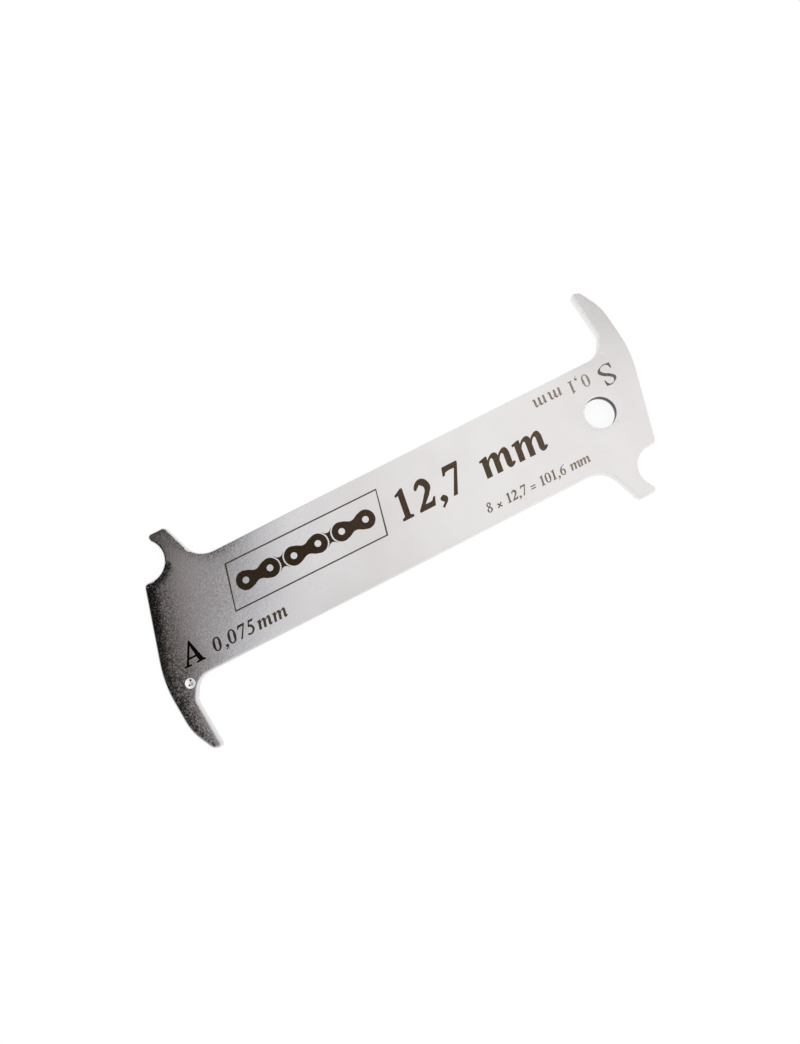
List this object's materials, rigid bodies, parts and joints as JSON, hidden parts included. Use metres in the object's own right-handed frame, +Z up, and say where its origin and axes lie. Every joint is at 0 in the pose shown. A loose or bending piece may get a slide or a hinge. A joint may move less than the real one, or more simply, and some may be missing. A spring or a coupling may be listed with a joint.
{
  "type": "chain wear gauge",
  "caption": "Flat one-piece steel gauge with a curved measuring finger and a round-notched foot at each end, for checking roller chain stretch, with a hanging hole.",
  "frame": {"origin": "middle of the plate's lower face, on the surface it lies on", "axes": "+X along the plate towards the end with the hanging hole, +Y across it towards the S edge, +Z up out of the marked face"},
  "size_m": [0.1045, 0.0454, 0.002],
  "materials": {
    "nickel_plated_steel": "satin nickel plate over punched steel, edges tumbled round"
  },
  "bodies": {
    "root": {"gauge_plate": "nickel_plated_steel"}
  },
  "joints": []
}
